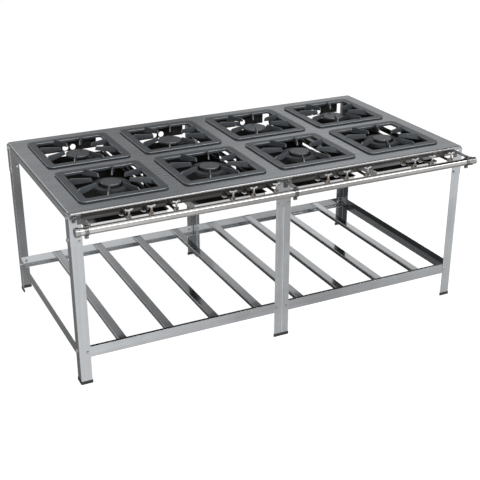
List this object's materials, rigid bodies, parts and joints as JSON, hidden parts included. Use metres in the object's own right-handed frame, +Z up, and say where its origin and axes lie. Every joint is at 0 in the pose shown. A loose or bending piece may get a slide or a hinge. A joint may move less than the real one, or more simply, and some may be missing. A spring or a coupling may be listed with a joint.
{
  "type": "industrial gas stove",
  "caption": "Low free-standing industrial gas stove with square cast-iron grates, a front gas tube with valves, drip trays and a slatted pot shelf on bent steel legs.",
  "frame": {"origin": "on the floor, under the middle of the stove's box", "axes": "+X along the gas tube to the cook's right, +Y away from the cook, +Z up"},
  "size_m": [1.973, 1.147, 0.818],
  "materials": {
    "stainless_top": "brushed",
    "frame_steel": "satin",
    "stainless_tray": "bright",
    "polished_tube": "polished",
    "cast_iron": "matt grey",
    "dark_steel": "heat darkened",
    "brass": "dull",
    "valve_handle": "nickel plated",
    "fasteners": "zinc plated",
    "black_plastic": "matt"
  },
  "bodies": {
    "frame": {"tabletop": "stainless_top", "leg_top_plates": "frame_steel", "corner_legs": "frame_steel", "middle_legs": "frame_steel", "foot_caps": "black_plastic", "front_shelf_rails": "frame_steel", "back_shelf_rails": "frame_steel", "side_shelf_rails": "frame_steel", "shelf_slats": "frame_steel", "frame_bolts": "fasteners", "tray_runners": "dark_steel", "side_bars": "dark_steel", "side_plates": "dark_steel", "burner_straps": "dark_steel", "vent_plates": "dark_steel", "gas_tube": "polished_tube", "tube_plug": "polished_tube", "gas_inlet": "polished_tube", "tube_clamps": "fasteners", "tube_brackets": "fasteners", "clamp_screws": "fasteners", "valve_bodies": "brass", "supply_pipes": "brass", "injectors": "brass", "centre_burners": "cast_iron", "ring_burners": "cast_iron", "back_burners": "cast_iron"},
    "centre_valve_handle_1": {"centre_valve_handle_1": "valve_handle"},
    "ring_valve_handle_1": {"ring_valve_handle_1": "valve_handle"},
    "back_valve_handle_1": {"back_valve_handle_1": "valve_handle"},
    "front_grate_1": {"front_grate_1": "cast_iron"},
    "back_grate_1": {"back_grate_1": "cast_iron"},
    "centre_cap_1": {"centre_cap_1": "cast_iron"},
    "back_cap_1": {"back_cap_1": "cast_iron"},
    "drip_tray_1": {"drip_tray_1": "stainless_tray"},
    "centre_valve_handle_2": {"centre_valve_handle_2": "valve_handle"},
    "ring_valve_handle_2": {"ring_valve_handle_2": "valve_handle"},
    "back_valve_handle_2": {"back_valve_handle_2": "valve_handle"},
    "front_grate_2": {"front_grate_2": "cast_iron"},
    "back_grate_2": {"back_grate_2": "cast_iron"},
    "centre_cap_2": {"centre_cap_2": "cast_iron"},
    "back_cap_2": {"back_cap_2": "cast_iron"},
    "drip_tray_2": {"drip_tray_2": "stainless_tray"},
    "centre_valve_handle_3": {"centre_valve_handle_3": "valve_handle"},
    "ring_valve_handle_3": {"ring_valve_handle_3": "valve_handle"},
    "back_valve_handle_3": {"back_valve_handle_3": "valve_handle"},
    "front_grate_3": {"front_grate_3": "cast_iron"},
    "back_grate_3": {"back_grate_3": "cast_iron"},
    "centre_cap_3": {"centre_cap_3": "cast_iron"},
    "back_cap_3": {"back_cap_3": "cast_iron"},
    "drip_tray_3": {"drip_tray_3": "stainless_tray"},
    "centre_valve_handle_4": {"centre_valve_handle_4": "valve_handle"},
    "ring_valve_handle_4": {"ring_valve_handle_4": "valve_handle"},
    "back_valve_handle_4": {"back_valve_handle_4": "valve_handle"},
    "front_grate_4": {"front_grate_4": "cast_iron"},
    "back_grate_4": {"back_grate_4": "cast_iron"},
    "centre_cap_4": {"centre_cap_4": "cast_iron"},
    "back_cap_4": {"back_cap_4": "cast_iron"},
    "drip_tray_4": {"drip_tray_4": "stainless_tray"}
  },
  "joints": [
    {"name": "centre_valve_turn_1", "type": "hinge", "parent": "frame", "child": "centre_valve_handle_1", "pos_m": [-0.743, -0.513, 0.768], "axis": [0, 0, 1], "range_deg": [0, 90]},
    {"name": "ring_valve_turn_1", "type": "hinge", "parent": "frame", "child": "ring_valve_handle_1", "pos_m": [-0.645, -0.513, 0.768], "axis": [0, 0, 1], "range_deg": [0, 90]},
    {"name": "back_valve_turn_1", "type": "hinge", "parent": "frame", "child": "back_valve_handle_1", "pos_m": [-0.535, -0.513, 0.768], "axis": [0, 0, 1], "range_deg": [0, 90]},
    {"name": "front_grate_lift_1", "type": "slide", "parent": "frame", "child": "front_grate_1", "axis": [0, 0, 1], "range_m": [0, 0.15]},
    {"name": "back_grate_lift_1", "type": "slide", "parent": "frame", "child": "back_grate_1", "axis": [0, 0, 1], "range_m": [0, 0.15]},
    {"name": "centre_cap_lift_1", "type": "slide", "parent": "frame", "child": "centre_cap_1", "axis": [0, 0, 1], "range_m": [0, 0.1]},
    {"name": "back_cap_lift_1", "type": "slide", "parent": "frame", "child": "back_cap_1", "axis": [0, 0, 1], "range_m": [0, 0.1]},
    {"name": "drip_tray_slide_1", "type": "slide", "parent": "frame", "child": "drip_tray_1", "axis": [0, -1, 0], "range_m": [0, 0.5]},
    {"name": "centre_valve_turn_2", "type": "hinge", "parent": "frame", "child": "centre_valve_handle_2", "pos_m": [-0.273, -0.513, 0.768], "axis": [0, 0, 1], "range_deg": [0, 90]},
    {"name": "ring_valve_turn_2", "type": "hinge", "parent": "frame", "child": "ring_valve_handle_2", "pos_m": [-0.175, -0.513, 0.768], "axis": [0, 0, 1], "range_deg": [0, 90]},
    {"name": "back_valve_turn_2", "type": "hinge", "parent": "frame", "child": "back_valve_handle_2", "pos_m": [-0.065, -0.513, 0.768], "axis": [0, 0, 1], "range_deg": [0, 90]},
    {"name": "front_grate_lift_2", "type": "slide", "parent": "frame", "child": "front_grate_2", "axis": [0, 0, 1], "range_m": [0, 0.15]},
    {"name": "back_grate_lift_2", "type": "slide", "parent": "frame", "child": "back_grate_2", "axis": [0, 0, 1], "range_m": [0, 0.15]},
    {"name": "centre_cap_lift_2", "type": "slide", "parent": "frame", "child": "centre_cap_2", "axis": [0, 0, 1], "range_m": [0, 0.1]},
    {"name": "back_cap_lift_2", "type": "slide", "parent": "frame", "child": "back_cap_2", "axis": [0, 0, 1], "range_m": [0, 0.1]},
    {"name": "drip_tray_slide_2", "type": "slide", "parent": "frame", "child": "drip_tray_2", "axis": [0, -1, 0], "range_m": [0, 0.5]},
    {"name": "centre_valve_turn_3", "type": "hinge", "parent": "frame", "child": "centre_valve_handle_3", "pos_m": [0.197, -0.513, 0.768], "axis": [0, 0, 1], "range_deg": [0, 90]},
    {"name": "ring_valve_turn_3", "type": "hinge", "parent": "frame", "child": "ring_valve_handle_3", "pos_m": [0.295, -0.513, 0.768], "axis": [0, 0, 1], "range_deg": [0, 90]},
    {"name": "back_valve_turn_3", "type": "hinge", "parent": "frame", "child": "back_valve_handle_3", "pos_m": [0.405, -0.513, 0.768], "axis": [0, 0, 1], "range_deg": [0, 90]},
    {"name": "front_grate_lift_3", "type": "slide", "parent": "frame", "child": "front_grate_3", "axis": [0, 0, 1], "range_m": [0, 0.15]},
    {"name": "back_grate_lift_3", "type": "slide", "parent": "frame", "child": "back_grate_3", "axis": [0, 0, 1], "range_m": [0, 0.15]},
    {"name": "centre_cap_lift_3", "type": "slide", "parent": "frame", "child": "centre_cap_3", "axis": [0, 0, 1], "range_m": [0, 0.1]},
    {"name": "back_cap_lift_3", "type": "slide", "parent": "frame", "child": "back_cap_3", "axis": [0, 0, 1], "range_m": [0, 0.1]},
    {"name": "drip_tray_slide_3", "type": "slide", "parent": "frame", "child": "drip_tray_3", "axis": [0, -1, 0], "range_m": [0, 0.5]},
    {"name": "centre_valve_turn_4", "type": "hinge", "parent": "frame", "child": "centre_valve_handle_4", "pos_m": [0.667, -0.513, 0.768], "axis": [0, 0, 1], "range_deg": [0, 90]},
    {"name": "ring_valve_turn_4", "type": "hinge", "parent": "frame", "child": "ring_valve_handle_4", "pos_m": [0.765, -0.513, 0.768], "axis": [0, 0, 1], "range_deg": [0, 90]},
    {"name": "back_valve_turn_4", "type": "hinge", "parent": "frame", "child": "back_valve_handle_4", "pos_m": [0.875, -0.513, 0.768], "axis": [0, 0, 1], "range_deg": [0, 90]},
    {"name": "front_grate_lift_4", "type": "slide", "parent": "frame", "child": "front_grate_4", "axis": [0, 0, 1], "range_m": [0, 0.15]},
    {"name": "back_grate_lift_4", "type": "slide", "parent": "frame", "child": "back_grate_4", "axis": [0, 0, 1], "range_m": [0, 0.15]},
    {"name": "centre_cap_lift_4", "type": "slide", "parent": "frame", "child": "centre_cap_4", "axis": [0, 0, 1], "range_m": [0, 0.1]},
    {"name": "back_cap_lift_4", "type": "slide", "parent": "frame", "child": "back_cap_4", "axis": [0, 0, 1], "range_m": [0, 0.1]},
    {"name": "drip_tray_slide_4", "type": "slide", "parent": "frame", "child": "drip_tray_4", "axis": [0, -1, 0], "range_m": [0, 0.5]}
  ]
}
